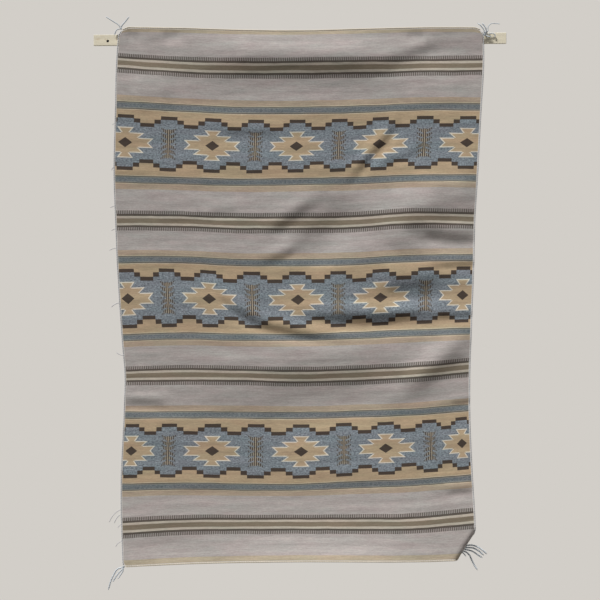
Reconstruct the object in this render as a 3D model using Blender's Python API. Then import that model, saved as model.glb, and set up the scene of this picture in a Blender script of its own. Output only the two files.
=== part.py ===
"""Navajo weaving: a flat wool tapestry with edge cords and corner tassels, pinned on a wooden batten."""

import math
from collections import namedtuple

import bpy
import numpy as np
from mathutils import Vector

MM = 0.001
GAP = 0.3
CORD_GAP = 0.65

# Batten: its back is the wall plane (y = 0), its middle is the origin, and the viewer is at -Y.
BATTEN_LENGTH = 968.0
BATTEN_HEIGHT = 25.4
BATTEN_THICKNESS = 6.4
BATTEN_ROLL = math.radians(0.3)
BATTEN_EDGE = 0.6
SCREW_X = -451.0
SCREW_Z = -4.5
SCREW_HEAD = 5.6
SCREW_HEAD_DEPTH = 1.4
SCREW_SHANK = 2.6
SHANK_SIDES = 16
HEAD_SIDES = 24
CUT_PAST = 1.0

# Woven web: across runs 0 to 1 from its left edge, down is measured along the regular chart.
WEB_THICKNESS = 3.0
WEB_LENGTH = 1243.0
WEB_COLUMNS = 32
WEB_ROWS = 46
FINE_STEPS = 11
FINE_ACROSS = 0.915
FINE_DOWN = 1173.0
STATIONS = (0.0, 0.17, 0.34, 0.5, 0.66, 0.83, 1.0)

# One row for each line of the pattern: where it lies on the chart, its height in the middle,
# the web's two edges there, and how far it is lifted above its middle at each station.
Row = namedtuple("Row", "name chart middle left right lifts")
ROWS = (
    Row("top edge", 0, 16.0, -421.0, 427.0, (8.2, 5.9, 1.2, 0.0, 3.5, 7.0, 7.0)),
    Row("comb A", 89, -69.0, -427.0, 427.0, (13.3, 3.5, -0.5, 0.0, 1.6, 4.7, 6.6)),
    Row("blue 1", 183, -168.5, -429.0, 421.0, (14.0, 6.3, 0.5, 0.0, 3.0, 8.2, 7.7)),
    Row("blue 2", 351, -335.3, -432.5, 411.5, (6.6, 2.6, -1.6, 0.0, 2.6, 7.7, 8.0)),
    Row("comb B", 445, -432.2, -429.0, 405.5, (5.9, 4.9, -0.2, 0.0, 2.1, 10.8, 9.1)),
    Row("blue 3", 539, -524.2, -425.5, 403.5, (7.0, 7.0, 0.2, 0.0, 2.1, 9.6, 11.7)),
    Row("blue 4", 707, -699.2, -414.0, 397.0, (-1.4, 3.0, 0.0, 0.0, 3.7, 9.6, 14.3)),
    Row("comb C", 801, -790.9, -407.0, 394.0, (1.2, 4.2, 2.8, 0.0, 3.7, 10.3, 22.7)),
    Row("blue 5", 895, -882.4, -409.5, 393.5, (1.2, 1.9, 1.4, 0.0, 3.3, 8.7, 19.2)),
    Row("blue 6", 1063, -1050.4, -416.5, 400.0, (0.0, 2.6, 0.5, 0.0, 5.9, 11.9, 23.2)),
    Row("comb D", 1157, -1136.5, -415.0, 405.5, (-9.4, -1.6, -0.5, 0.0, 0.5, 2.8, 15.7)),
    Row("bottom edge", 1243, -1219.0, -411.5, 408.0, (-14.0, -7.0, -2.3, 0.0, 0.0, 0.0, 4.0)),
)

# How far the middle of the web stands off the wall, before its folds.
Level = namedtuple("Level", "z left middle right")
LEVELS = (
    Level(40, 10.4, 9.9, 13.5),
    Level(-14, 10.4, 9.9, 13.0),
    Level(-120, 14.0, 12.0, 17.0),
    Level(-400, 13.0, 18.0, 22.0),
    Level(-700, 12.0, 17.0, 23.0),
    Level(-950, 12.0, 14.0, 24.0),
    Level(-1130, 12.0, 13.0, 24.0),
    Level(-1230, 15.0, 23.0, 29.0),
)
LEVEL_STATIONS = (-430.0, 0.0, 430.0)

# Folds: a soft trough (negative rise) or ridge (positive rise) along a line, and a fall, where the
# web drops by this much from the line's upper side to its lower side. Lines run left to right.
Fold = namedtuple("Fold", "name width rise fall line")
FOLDS = (
    Fold("pin dimple at the far left", 13, -2.1, 0, ((-412, 3), (-368, 3))),
    Fold("pin dimple at the left", 13, -2.4, 0, ((-322, 4), (-276, 4))),
    Fold("pin dimple at the right", 14, -3.6, 0, ((246, 2), (300, 6))),
    Fold("ridge under the batten", 43, 15.0, 0, ((-262, -34), (0, -37), (248, -41))),
    Fold("fall at the top right", 27, 0, 4.4, ((180, -66), (250, -40), (330, -6))),
    Fold("swell under the batten at the left", 55, 3.0, 0, ((-400, -120), (-290, -120))),
    Fold("swell under the batten at the right", 50, 3.0, 0, ((240, -125), (400, -115))),
    Fold("soft fall over the second diamond", 20, 0, 2.6, ((-200, -215), (-40, -226))),
    Fold("crease over the fourth diamond", 15, 0, 5.0, ((118, -330), (160, -280), (200, -235), (228, -192))),
    Fold("crease beside it", 14, 0, 1.8, ((168, -302), (246, -277), (305, -240))),
    Fold("upper left dent", 17, 0, 2.2, ((-225, -408), (-140, -404))),
    Fold("long slanting valley", 54, -9.5, 0, ((-5, -540), (60, -470), (140, -378))),
    Fold("fall into the valley", 22, 0, 4.8, ((-75, -460), (-25, -422), (45, -374))),
    Fold("lower fall into the valley", 17, 0, 3.6, ((-90, -526), (-40, -508), (0, -484))),
    Fold("bulge beside the valley", 52, 8.0, 0, ((205, -500), (255, -420), (290, -345))),
    Fold("swell at the right edge", 48, 8.5, 0, ((270, -372), (420, -348))),
    Fold("fall at the right edge", 25, 0, 8.6, ((272, -448), (340, -464), (425, -468))),
    Fold("streak at the right edge", 11, 0, 3.2, ((310, -532), (425, -526))),
    Fold("fall beside the fourth diamond", 40, 0, 11.0, ((175, -588), (250, -580), (340, -574))),
    Fold("deep fall under the fourth diamond", 25, 0, 11.0, ((5, -648), (90, -656), (200, -654), (330, -645))),
    Fold("it runs out at the right edge", 13, 0, 3.6, ((300, -650), (425, -644))),
    Fold("left slanting crease", 19, 0, 8.6,
         ((-196, -588), (-152, -631), (-94, -667), (-35, -683), (30, -695), (100, -702))),
    Fold("slow fall under the crease", 92, 0, 14.0, ((-110, -805), (210, -800))),
    Fold("small dent under the crease", 14, 0, 1.6, ((-205, -716), (-140, -722))),
    Fold("lower right ridge", 31, 10.0, 0, ((238, -826), (304, -765), (388, -690))),
    Fold("dent under the ridge", 13, 0, 3.2, ((345, -852), (405, -846))),
    Fold("soft swell left of the middle", 90, 3.0, 0, ((-150, -880), (-140, -720))),
    Fold("left edge dent", 18, 0, 4.4, ((-420, -846), (-300, -858))),
    Fold("right edge dent", 14, 0, 3.8, ((335, -1060), (408, -1054))),
    Fold("lower right swell", 60, 3.0, 0, ((170, -1150), (340, -1140))),
    Fold("flare at the bottom", 52, 7.0, 0, ((-190, -1236), (290, -1240))),
    Fold("lower left hollow", 32, -2.5, 0, ((-380, -1190), (-210, -1196))),
)
FOLD_END = 0.3

# Corners: how far each is drawn round, as a radius.
Corner = namedtuple("Corner", "name across down radius")
CORNERS = (
    Corner("top left", 0.0, 0.0, 19.0),
    Corner("top right", 1.0, 0.0, 18.0),
    Corner("bottom left", 0.0, WEB_LENGTH, 6.0),
    Corner("bottom right", 1.0, WEB_LENGTH, 20.0),
)

# The bottom right corner rolls back towards the wall about a slanting line.
ROLL_DIRECTION = (0.842, -0.539)
ROLL_START = 956.0
ROLL_RADIUS = 10.0
ROLL_TURN = math.radians(175.0)

# Edge cords
END_CORD = 4.0
SIDE_CORD = 3.6
CORD_SIDES = 6

# Loose weft ends on the left side cord: how far each reaches out and drops.
LooseEnd = namedtuple("LooseEnd", "z reach drop thickness")
LOOSE_ENDS = (
    LooseEnd(-199, 7, 3, 2.2),
    LooseEnd(-300, 6, 9, 2.2),
    LooseEnd(-392, 12, 4, 2.2),
    LooseEnd(-445, 11, 5, 2.2),
    LooseEnd(-490, 18, 6, 2.2),
    LooseEnd(-618, 20, 11, 2.6),
    LooseEnd(-742, 18, -8, 2.2),
    LooseEnd(-1102, 29, 31, 2.4),
    LooseEnd(-1113, 17, 22, 2.4),
    LooseEnd(-1137, 9, 9, 2.2),
    LooseEnd(-1176, 16, 14, 2.2),
)

# Tassels: a knot that lies against the web's corner, and the yarns that leave it, each through
# points of x, distance off the wall and z. A yarn's root starts inside the knot, this share of
# the knot's size from its middle.
ROOT_DEPTH = 0.2
KNOT_FLATNESS = 0.75
KNOT_RINGS = 6
KNOT_SIDES = 10
YARN_SIDES = 4
Yarn = namedtuple("Yarn", "thickness points")
Tassel = namedtuple("Tassel", "name x off z size yarns")
TASSELS = (
    Tassel("tassel_top_left", -419.5, 10.3, 23.7, 6.0, (
        Yarn(3.0, ((-423.6, 10, 31), (-439, 9, 41.7), (-456, 8, 52.9))),
        Yarn(3.4, ((-417, 11, 31.5), (-411.6, 12, 37.2), (-405.5, 12, 44.5), (-400, 11, 52.4))),
        Yarn(3.0, ((-428.5, 10, 21.5), (-432.8, 10, 15), (-434.3, 10, 8))),
    )),
    Tassel("tassel_top_right", 432.4, 11.5, 9.6, 7.5, (
        Yarn(3.6, ((430.5, 12, 20), (422.5, 12, 31.5), (415.5, 11, 37))),
        Yarn(3.8, ((436, 14, 20), (432, 14, 29), (426, 13, 37.2))),
        Yarn(3.4, ((441.5, 12, 5), (449, 11.5, 6))),
        Yarn(2.8, ((444, 11, 12), (452, 10.5, 12.8), (457.5, 10, 8.6), (455.5, 9.5, 2.5))),
        Yarn(2.4, ((440, 11, 18), (440.8, 10, 28), (447, 9, 35.2), (458, 8, 36.4), (469, 8, 35.3))),
    )),
    Tassel("tassel_bottom_left", -413.0, 13.9, -1236.4, 6.5, (
        Yarn(4.2, ((-419, 13, -1238.5), (-427, 12, -1241.8), (-436.4, 11, -1255.4),
                   (-443, 10, -1269.5), (-447, 9, -1282.3), (-449.3, 8, -1291.7))),
        Yarn(3.9, ((-418, 13, -1244.5), (-425.5, 12, -1252), (-432.5, 11, -1262), (-438.9, 10, -1273))),
        Yarn(3.2, ((-414.5, 14, -1246), (-420.5, 14, -1256), (-426.5, 13, -1265))),
    )),
    Tassel("tassel_bottom_right", 377.0, 4.0, -1192.0, 5.0, (
        Yarn(4.6, ((386, 4.6, -1190), (395, 6, -1187.2), (402, 8.6, -1186.4),
                   (416.5, 10.6, -1190.8), (430.6, 9.6, -1200.4), (438.3, 7.6, -1208.1))),
        Yarn(4.6, ((386, 4.4, -1193.4), (396, 5, -1192.9), (404, 6.6, -1193.2),
                   (417.7, 7.6, -1199.5), (431.6, 6.6, -1211))),
        Yarn(4.4, ((385, 4, -1197), (394, 4, -1198.6), (403, 4.2, -1201),
                   (415.5, 4.4, -1208.8), (428.4, 4.2, -1217.3))),
        Yarn(4.6, ((382, 4.2, -1200.4), (389.5, 5, -1203.5), (397, 6, -1210),
                   (402.8, 6.5, -1222), (409.7, 6.5, -1235.2), (416.5, 6, -1246))),
        Yarn(3.4, ((378, 4, -1201.5), (384, 4.5, -1206.8), (390, 5, -1214))),
    )),
)

Finish = namedtuple("Finish", "name colour roughness metallic")
WOOL = Finish("handspun wool field", (0.42, 0.37, 0.34), 0.9, 0.0)
EDGE_YARN = Finish("undyed edge yarn", (0.55, 0.50, 0.44), 0.9, 0.0)
TASSEL_YARN = Finish("blue grey tassel yarn", (0.40, 0.41, 0.43), 0.9, 0.0)
LATH = Finish("pale lath wood", (0.72, 0.66, 0.54), 0.6, 0.0)
BLACK_STEEL = Finish("black screw steel", (0.02, 0.02, 0.02), 0.45, 1.0)


def start_clean():
    for thing in list(bpy.data.objects):
        bpy.data.objects.remove(thing)


def finish_material(finish):
    material = bpy.data.materials.new(finish.name)
    material.use_nodes = True
    shader = material.node_tree.nodes["Principled BSDF"]
    shader.inputs["Base Color"].default_value = (*finish.colour, 1.0)
    shader.inputs["Roughness"].default_value = finish.roughness
    shader.inputs["Metallic"].default_value = finish.metallic
    return material


def solid(name, corners, faces, finish=None):
    """An object from corners in millimetres and its faces."""
    mesh = bpy.data.meshes.new(name)
    mesh.from_pydata([tuple(MM * value for value in corner) for corner in corners], [], faces)
    mesh.update()
    thing = bpy.data.objects.new(name, mesh)
    bpy.context.scene.collection.objects.link(thing)
    if finish:
        mesh.materials.append(finish_material(finish))
    return thing


def combine(base, others, operation):
    """Adds the others to the base, or cuts them from it, one by one, and removes them."""
    for other in others:
        step = base.modifiers.new(operation.lower(), "BOOLEAN")
        step.operation = operation
        step.solver = "EXACT"
        step.object = other
        evaluated = base.evaluated_get(bpy.context.evaluated_depsgraph_get())
        old = base.data
        result = bpy.data.meshes.new_from_object(evaluated)
        base.modifiers.clear()
        base.data = result
        result.name = base.name
        bpy.data.meshes.remove(old)
        bpy.data.objects.remove(other)
    return base


def smooth_through(places, values, at):
    """A smooth curve through values at places, read at every position in at."""
    places = np.asarray(places, dtype=float)
    values = np.asarray(values, dtype=float)
    slopes = np.gradient(values, places, axis=0)
    at = np.clip(at, places[0], places[-1])
    index = np.clip(np.searchsorted(places, at, side="right") - 1, 0, len(places) - 2)
    span = places[index + 1] - places[index]
    t = (at - places[index]) / span

    def pick(table, row):
        if table.ndim == 1:
            return table[row]
        return np.take_along_axis(table, row[None], axis=0)[0]

    start_weight = 2 * t**3 - 3 * t**2 + 1
    end_weight = 3 * t**2 - 2 * t**3
    start_slope = (t**3 - 2 * t**2 + t) * span
    end_slope = (t**3 - t**2) * span
    return (
        start_weight * pick(values, index)
        + end_weight * pick(values, index + 1)
        + start_slope * pick(slopes, index)
        + end_slope * pick(slopes, index + 1)
    )


def flat_place(across, down):
    """The web as seen from the front: x and z of a place on the chart."""
    charts = [row.chart for row in ROWS]
    left = smooth_through(charts, [row.left for row in ROWS], down)
    right = smooth_through(charts, [row.right for row in ROWS], down)
    lifts = np.array([
        smooth_through(charts, [row.lifts[station] for row in ROWS], down)
        for station in range(len(STATIONS))
    ])
    x = left + across * (right - left)
    z = smooth_through(charts, [row.middle for row in ROWS], down) + smooth_through(STATIONS, lifts, across)
    for corner in CORNERS:
        from_side = np.abs(across - corner.across) * (right - left)
        from_end = np.abs(down - corner.down)
        near = np.clip(1 - from_side / corner.radius, 0, 1) * np.clip(1 - from_end / corner.radius, 0, 1)
        # a square corner lies this far outside its arc, shared between x and z
        inward = near * corner.radius * (math.sqrt(2) - 1) / math.sqrt(2)
        x = x + inward * (1 if corner.across == 0 else -1)
        z = z + inward * (-1 if corner.down == 0 else 1)
    return x, z


def fold_rise(fold, x, z):
    """How far one fold lifts the web, by the distance from the fold's line and along it."""
    corners = np.array(fold.line, dtype=float)
    runs = np.append(0, np.cumsum(np.hypot(*np.diff(corners, axis=0).T)))
    nearest = np.full(x.shape, np.inf)
    below = np.zeros(x.shape)
    at = np.zeros(x.shape)
    for (start_x, start_z), (end_x, end_z), run in zip(corners, corners[1:], runs):
        run_x = end_x - start_x
        run_z = end_z - start_z
        length = math.hypot(run_x, run_z)
        along = np.clip(((x - start_x) * run_x + (z - start_z) * run_z) / length**2, 0, 1)
        distance = np.hypot(x - start_x - along * run_x, z - start_z - along * run_z)
        under = (run_z * (x - start_x) - run_x * (z - start_z)) / length
        closer = distance < nearest
        nearest = np.where(closer, distance, nearest)
        below = np.where(closer, under, below)
        at = np.where(closer, run + along * length, at)
    fade = np.clip(np.minimum(at, runs[-1] - at) / (FOLD_END * runs[-1]), 0, 1)
    fade = FOLD_END + (1 - FOLD_END) * fade * fade * (3 - 2 * fade)
    bell = np.exp(-((nearest / fold.width) ** 2)) * fade
    # a fall's curve peaks at this many times its height before the factor brings it to one
    peak = math.sqrt(2 * math.e)
    return bell * (fold.rise - fold.fall / 2 * peak * np.clip(below / fold.width, -2, 2))


def stand_off(x, z):
    """How far the middle of the web stands off the wall."""
    heights = [-level.z for level in LEVELS]
    sides = np.array([
        smooth_through(heights, [level.left for level in LEVELS], -z),
        smooth_through(heights, [level.middle for level in LEVELS], -z),
        smooth_through(heights, [level.right for level in LEVELS], -z),
    ])
    off = smooth_through(LEVEL_STATIONS, sides, x)
    for fold in FOLDS:
        off = off + fold_rise(fold, x, z)
    return off


def web_surface(across, down):
    """Points on the middle of the web, with its folds and its rolled corner, as an array of x, y, z."""
    across, down = np.broadcast_arrays(np.asarray(across, dtype=float), np.asarray(down, dtype=float))
    shape = across.shape
    x, z = flat_place(across.ravel(), down.ravel())
    off = stand_off(x, z)
    past = np.maximum(ROLL_DIRECTION[0] * x + ROLL_DIRECTION[1] * z - ROLL_START, 0)
    turn = np.minimum(past / ROLL_RADIUS, ROLL_TURN)
    straight = past - turn * ROLL_RADIUS
    reach = ROLL_RADIUS * np.sin(turn) + straight * math.cos(ROLL_TURN)
    off = off - ROLL_RADIUS * (1 - np.cos(turn)) - straight * math.sin(ROLL_TURN)
    x = x + (reach - past) * ROLL_DIRECTION[0]
    z = z + (reach - past) * ROLL_DIRECTION[1]
    return np.stack([x, -off, z], axis=-1).reshape(*shape, 3)


def unit(vectors):
    return vectors / np.linalg.norm(vectors, axis=-1, keepdims=True)


def web_places():
    """The grid's places across and down, closer together near the rolled corner."""
    across = np.append(
        np.linspace(0, FINE_ACROSS, WEB_COLUMNS, endpoint=False),
        np.linspace(FINE_ACROSS, 1, FINE_STEPS + 1),
    )
    down = np.append(
        np.linspace(0, FINE_DOWN, WEB_ROWS, endpoint=False),
        np.linspace(FINE_DOWN, WEB_LENGTH, FINE_STEPS + 1),
    )
    return across, down


def web_grid():
    """The middle of the web as a grid of points, and the direction that each faces."""
    across, down = web_places()
    points = web_surface(across[None, :], down[:, None])
    facing = unit(np.cross(np.gradient(points, axis=0), np.gradient(points, axis=1)))
    return points, facing


def make_weaving(points, facing):
    rows, columns = points.shape[:2]
    half = WEB_THICKNESS / 2
    front = (points + half * facing).reshape(-1, 3)
    back = (points - half * facing).reshape(-1, 3)
    corners = np.concatenate([front, back])
    behind = rows * columns
    faces = []
    for row in range(rows - 1):
        for column in range(columns - 1):
            a = row * columns + column
            faces.append((a, a + columns, a + columns + 1, a + 1))
            faces.append((behind + a, behind + a + 1, behind + a + columns + 1, behind + a + columns))
    rim = (
        [column for column in range(columns)]
        + [row * columns + columns - 1 for row in range(1, rows)]
        + [(rows - 1) * columns + column for column in range(columns - 2, -1, -1)]
        + [row * columns for row in range(rows - 2, 0, -1)]
    )
    for here, there in zip(rim, rim[1:] + rim[:1]):
        faces.append((here, there, behind + there, behind + here))
    weaving = solid("weaving", corners, faces, WOOL)
    weaving.data.shade_smooth()
    weaving.data.set_sharp_from_angle(angle=math.radians(50))
    return weaving


def tube(name, path, thickness, sides, finish=None):
    """A closed tube along a path of points in millimetres."""
    path = [Vector(point) for point in path]
    ahead = [(b - a).normalized() for a, b in zip(path, path[1:])]
    ahead.append(ahead[-1])
    side = ahead[0].orthogonal().normalized()
    corners = []
    for number, point in enumerate(path):
        before = ahead[max(number - 1, 0)]
        along = (before + ahead[number]).normalized()
        side = (side - along * side.dot(along)).normalized()
        other = along.cross(side)
        for turn in range(sides):
            angle = 2 * math.pi * turn / sides
            corners.append(point + (side * math.cos(angle) + other * math.sin(angle)) * thickness / 2)
    faces = []
    for ring in range(len(path) - 1):
        for turn in range(sides):
            a = ring * sides + turn
            b = ring * sides + (turn + 1) % sides
            faces.append((a, b, b + sides, a + sides))
    faces.append(tuple(reversed(range(sides))))
    faces.append(tuple(range((len(path) - 1) * sides, len(path) * sides)))
    return solid(name, corners, faces, finish)


def cord_path(edge, inner, thickness):
    """A cord's middle along a web edge, just outside it, with its ends drawn in by the gap."""
    along = unit(np.gradient(edge, axis=0))
    outward = edge - inner
    outward = unit(outward - along * np.sum(outward * along, axis=-1, keepdims=True))
    path = edge + outward * (thickness / 2 + CORD_GAP)
    path[0] += unit(path[1] - path[0]) * GAP
    path[-1] += unit(path[-2] - path[-1]) * GAP
    return path


def make_edge_cords(points):
    """A cord along each of the web's four edges, with the loose weft ends fused to the left one."""
    top = cord_path(points[0], points[1], END_CORD)
    bottom = cord_path(points[-1], points[-2], END_CORD)
    left = cord_path(points[:, 0], points[:, 1], SIDE_CORD)
    right = cord_path(points[:, -1], points[:, -2], SIDE_CORD)
    tube("end_cord_top", top, END_CORD, CORD_SIDES, EDGE_YARN)
    tube("end_cord_bottom", bottom, END_CORD, CORD_SIDES, EDGE_YARN)
    tube("side_cord_right", right, SIDE_CORD, CORD_SIDES, EDGE_YARN)
    left_cord = tube("side_cord_left", left, SIDE_CORD, CORD_SIDES, EDGE_YARN)
    combine(left_cord, [loose_end(end, left) for end in LOOSE_ENDS], "UNION")


def loose_end(end, cord):
    """A weft end that leaves the cord's middle and bends down, flat to the wall."""
    heights = -cord[:, 2]
    x = np.interp(-end.z, heights, cord[:, 0])
    y = np.interp(-end.z, heights, cord[:, 1])
    path = [
        (x, y, end.z),
        (x - end.reach * 0.3, y, end.z - end.drop * 0.15),
        (x - end.reach * 0.7, y, end.z - end.drop * 0.5),
        (x - end.reach, y, end.z - end.drop),
    ]
    return tube("loose_end", path, end.thickness, YARN_SIDES)


def knot(name, tassel):
    """A lumpy knot: a low ball, flattened towards the wall."""
    rings = KNOT_RINGS
    sides = KNOT_SIDES
    corners = [(tassel.x, -tassel.off, tassel.z + tassel.size / 2)]
    for ring in range(1, rings):
        polar = math.pi * ring / rings
        for turn in range(sides):
            angle = 2 * math.pi * turn / sides
            radius = math.sin(polar) * tassel.size / 2
            corners.append((
                tassel.x + radius * math.cos(angle),
                -tassel.off + KNOT_FLATNESS * radius * math.sin(angle),
                tassel.z + math.cos(polar) * tassel.size / 2,
            ))
    corners.append((tassel.x, -tassel.off, tassel.z - tassel.size / 2))
    faces = [(0, 1 + turn, 1 + (turn + 1) % sides) for turn in range(sides)]
    for ring in range(rings - 2):
        for turn in range(sides):
            a = 1 + ring * sides + turn
            b = 1 + ring * sides + (turn + 1) % sides
            faces.append((a, a + sides, b + sides, b))
    last = len(corners) - 1
    lowest = last - sides
    faces += [(last, lowest + (turn + 1) % sides, lowest + turn) for turn in range(sides)]
    return solid(name, corners, faces, TASSEL_YARN)


def make_tassels():
    for tassel in TASSELS:
        yarns = []
        for yarn in tassel.yarns:
            middle = Vector((tassel.x, -tassel.off, tassel.z))
            path = [Vector((x, -off, z)) for x, off, z in yarn.points]
            root = middle + (path[0] - middle).normalized() * tassel.size * ROOT_DEPTH
            yarns.append(tube("yarn", [root] + path, yarn.thickness, YARN_SIDES))
        combine(knot(tassel.name, tassel), yarns, "UNION")


def box(name, length, depth, height, finish=None):
    """A box with its middle at the origin."""
    corners = [
        (x * length / 2, y * depth / 2, z * height / 2)
        for x in (-1, 1) for y in (-1, 1) for z in (-1, 1)
    ]
    faces = [(0, 1, 3, 2), (4, 6, 7, 5), (0, 4, 5, 1), (2, 3, 7, 6), (0, 2, 6, 4), (1, 5, 7, 3)]
    return solid(name, corners, faces, finish)


def bar_along_y(name, start, end, thickness, sides, finish=None):
    """A round bar on the screw's axis, between two distances behind the wall plane."""
    return tube(name, ((SCREW_X, start, SCREW_Z), (SCREW_X, end, SCREW_Z)), thickness, sides, finish)


def make_batten():
    """The lath that carries the web, with the one screw that shows at its left end."""
    batten = box("batten", BATTEN_LENGTH, BATTEN_THICKNESS, BATTEN_HEIGHT, LATH)
    batten.location = (0, -BATTEN_THICKNESS / 2 * MM, 0)
    batten.rotation_euler = (0, -BATTEN_ROLL, 0)
    eased = batten.modifiers.new("eased edges", "BEVEL")
    eased.width = BATTEN_EDGE * MM
    eased.segments = 1
    eased.limit_method = "ANGLE"
    front = -BATTEN_THICKNESS
    head_back = front + SCREW_HEAD_DEPTH
    screw = bar_along_y("batten_screw", 0, front, SCREW_SHANK, SHANK_SIDES, BLACK_STEEL)
    head = bar_along_y("head", head_back, front, SCREW_HEAD, HEAD_SIDES)
    combine(screw, [head], "UNION")
    screw.data.shade_smooth()
    screw.data.set_sharp_from_angle(angle=math.radians(40))
    bore = bar_along_y("bore", CUT_PAST, front - CUT_PAST, SCREW_SHANK + 2 * GAP, SHANK_SIDES)
    seat = bar_along_y("seat", head_back + GAP, front - CUT_PAST, SCREW_HEAD + 2 * GAP, HEAD_SIDES)
    combine(batten, [bore, seat], "DIFFERENCE")


def main():
    start_clean()
    points, facing = web_grid()
    make_weaving(points, facing)
    make_edge_cords(points)
    make_tassels()
    make_batten()


main()
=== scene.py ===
"""Looks of the navajo weaving: the woven web, its edge cords and corner tassels, and the lath it hangs on.

Lengths in the tables are millimetres; the scene and its settings are in metres.
"""

import math
from collections import namedtuple

import bmesh
import bpy
import numpy as np
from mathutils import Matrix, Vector


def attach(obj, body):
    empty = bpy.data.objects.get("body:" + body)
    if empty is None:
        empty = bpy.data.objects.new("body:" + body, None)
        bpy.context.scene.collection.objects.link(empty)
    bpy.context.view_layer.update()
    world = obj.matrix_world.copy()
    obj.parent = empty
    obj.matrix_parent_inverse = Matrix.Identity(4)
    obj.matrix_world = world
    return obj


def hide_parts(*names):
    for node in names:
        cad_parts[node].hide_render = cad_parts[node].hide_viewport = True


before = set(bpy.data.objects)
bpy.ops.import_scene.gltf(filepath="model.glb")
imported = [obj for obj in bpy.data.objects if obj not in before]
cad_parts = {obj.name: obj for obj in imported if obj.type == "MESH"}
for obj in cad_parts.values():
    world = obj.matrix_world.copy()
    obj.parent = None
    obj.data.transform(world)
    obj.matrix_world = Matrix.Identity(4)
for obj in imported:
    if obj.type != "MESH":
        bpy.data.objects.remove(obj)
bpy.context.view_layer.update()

bl_info = {
    "name": "Navajo Weaving",
    "version": (1, 0, 0),
    "blender": (4, 5, 0),
    "location": "View3D > Sidebar > Weaving",
    "description": "Builds a hanging wool tapestry with its edge cords, corner tassels and lath",
    "category": "Add Mesh",
}

MM = 0.001
BODY = "root"

# Woven web: across runs 0 to 1 from its left edge, down is measured along the regular chart.
WEB_LENGTH = 1243.0
WEB_COLUMNS = 180
WEB_ROWS = 256
RIM_ANGLE = math.radians(50.0)
STATIONS = (0.0, 0.17, 0.34, 0.5, 0.66, 0.83, 1.0)

# One row for each line of the pattern: where it lies on the chart, its height in the middle,
# the web's two edges there, and how far it is lifted above its middle at each station.
Row = namedtuple("Row", "name chart middle left right lifts")
ROWS = (
    Row("top edge", 0, 16.0, -421.0, 427.0, (8.2, 5.9, 1.2, 0.0, 3.5, 7.0, 7.0)),
    Row("comb A", 89, -69.0, -427.0, 427.0, (13.3, 3.5, -0.5, 0.0, 1.6, 4.7, 6.6)),
    Row("blue 1", 183, -168.5, -429.0, 421.0, (14.0, 6.3, 0.5, 0.0, 3.0, 8.2, 7.7)),
    Row("blue 2", 351, -335.3, -432.5, 411.5, (6.6, 2.6, -1.6, 0.0, 2.6, 7.7, 8.0)),
    Row("comb B", 445, -432.2, -429.0, 405.5, (5.9, 4.9, -0.2, 0.0, 2.1, 10.8, 9.1)),
    Row("blue 3", 539, -524.2, -425.5, 403.5, (7.0, 7.0, 0.2, 0.0, 2.1, 9.6, 11.7)),
    Row("blue 4", 707, -699.2, -414.0, 397.0, (-1.4, 3.0, 0.0, 0.0, 3.7, 9.6, 14.3)),
    Row("comb C", 801, -790.9, -407.0, 394.0, (1.2, 4.2, 2.8, 0.0, 3.7, 10.3, 22.7)),
    Row("blue 5", 895, -882.4, -409.5, 393.5, (1.2, 1.9, 1.4, 0.0, 3.3, 8.7, 19.2)),
    Row("blue 6", 1063, -1050.4, -416.5, 400.0, (0.0, 2.6, 0.5, 0.0, 5.9, 11.9, 23.2)),
    Row("comb D", 1157, -1136.5, -415.0, 405.5, (-9.4, -1.6, -0.5, 0.0, 0.5, 2.8, 15.7)),
    Row("bottom edge", 1243, -1219.0, -411.5, 408.0, (-14.0, -7.0, -2.3, 0.0, 0.0, 0.0, 4.0)),
)

# How far the middle of the web stands off the wall, before its folds.
Level = namedtuple("Level", "z left middle right")
LEVELS = (
    Level(40, 10.4, 9.9, 13.5),
    Level(-14, 10.4, 9.9, 13.0),
    Level(-120, 14.0, 12.0, 17.0),
    Level(-400, 13.0, 18.0, 22.0),
    Level(-700, 12.0, 17.0, 23.0),
    Level(-950, 12.0, 14.0, 24.0),
    Level(-1130, 12.0, 13.0, 24.0),
    Level(-1230, 15.0, 23.0, 29.0),
)
LEVEL_STATIONS = (-430.0, 0.0, 430.0)

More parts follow.
